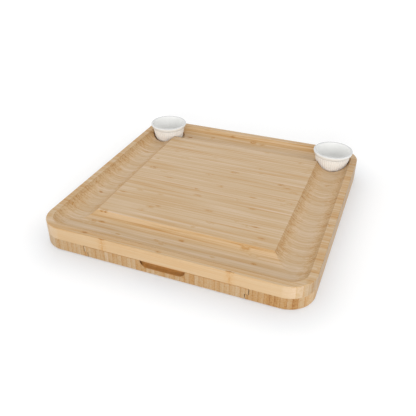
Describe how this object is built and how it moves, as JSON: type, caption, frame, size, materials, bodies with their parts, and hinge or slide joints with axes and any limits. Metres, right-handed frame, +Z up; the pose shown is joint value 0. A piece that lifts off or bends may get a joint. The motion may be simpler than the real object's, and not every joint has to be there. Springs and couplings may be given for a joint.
{
  "type": "serving board with drawer trays",
  "caption": "Square bamboo serving board with a round-bottomed moat, lift-out dip bowls in two corners and drawer trays that slide out under it.",
  "frame": {"origin": "point on the table under the middle of the board, level with the bottoms of the feet", "axes": "+X to the right, +Y to the back where the two bowls stand, +Z up; the pictured drawer opens towards -Y"},
  "size_m": [0.37, 0.37, 0.0507],
  "materials": {
    "bamboo_top": "oiled side-pressed bamboo, grain from left to right",
    "bamboo_base": "oiled side-pressed bamboo, grain from front to back",
    "bamboo_tray": "oiled side-pressed bamboo, grain from front to back",
    "bowl_glaze": "white gloss glaze over stoneware",
    "magnet_nickel": "nickel plate",
    "foot_silicone": "translucent matt silicone"
  },
  "bodies": {
    "board": {"top_board": "bamboo_top", "base_left_rail": "bamboo_base", "base_right_rail": "bamboo_base", "base_centre_rail": "bamboo_base", "front_stop_magnet_left": "magnet_nickel", "front_stop_magnet_right": "magnet_nickel", "rear_stop_magnet_left": "magnet_nickel", "rear_stop_magnet_right": "magnet_nickel", "foot_front_left": "foot_silicone", "foot_front_right": "foot_silicone", "foot_rear_left": "foot_silicone", "foot_rear_right": "foot_silicone"},
    "front_drawer": {"front_tray": "bamboo_tray", "front_tray_magnet_left": "magnet_nickel", "front_tray_magnet_right": "magnet_nickel"},
    "rear_drawer": {"rear_tray": "bamboo_tray", "rear_tray_magnet_left": "magnet_nickel", "rear_tray_magnet_right": "magnet_nickel"},
    "left_dip_bowl": {"left_bowl": "bowl_glaze"},
    "right_dip_bowl": {"right_bowl": "bowl_glaze"}
  },
  "joints": [
    {"name": "front_tray_slide", "type": "slide", "parent": "board", "child": "front_drawer", "axis": [0, -1, 0], "range_m": [0, 0.15]},
    {"name": "rear_tray_slide", "type": "slide", "parent": "board", "child": "rear_drawer", "axis": [0, 1, 0], "range_m": [0, 0.15]},
    {"name": "left_bowl_lift", "type": "slide", "parent": "board", "child": "left_dip_bowl", "axis": [0, 0, 1], "range_m": [0, 0.04]},
    {"name": "right_bowl_lift", "type": "slide", "parent": "board", "child": "right_dip_bowl", "axis": [0, 0, 1], "range_m": [0, 0.04]}
  ]
}
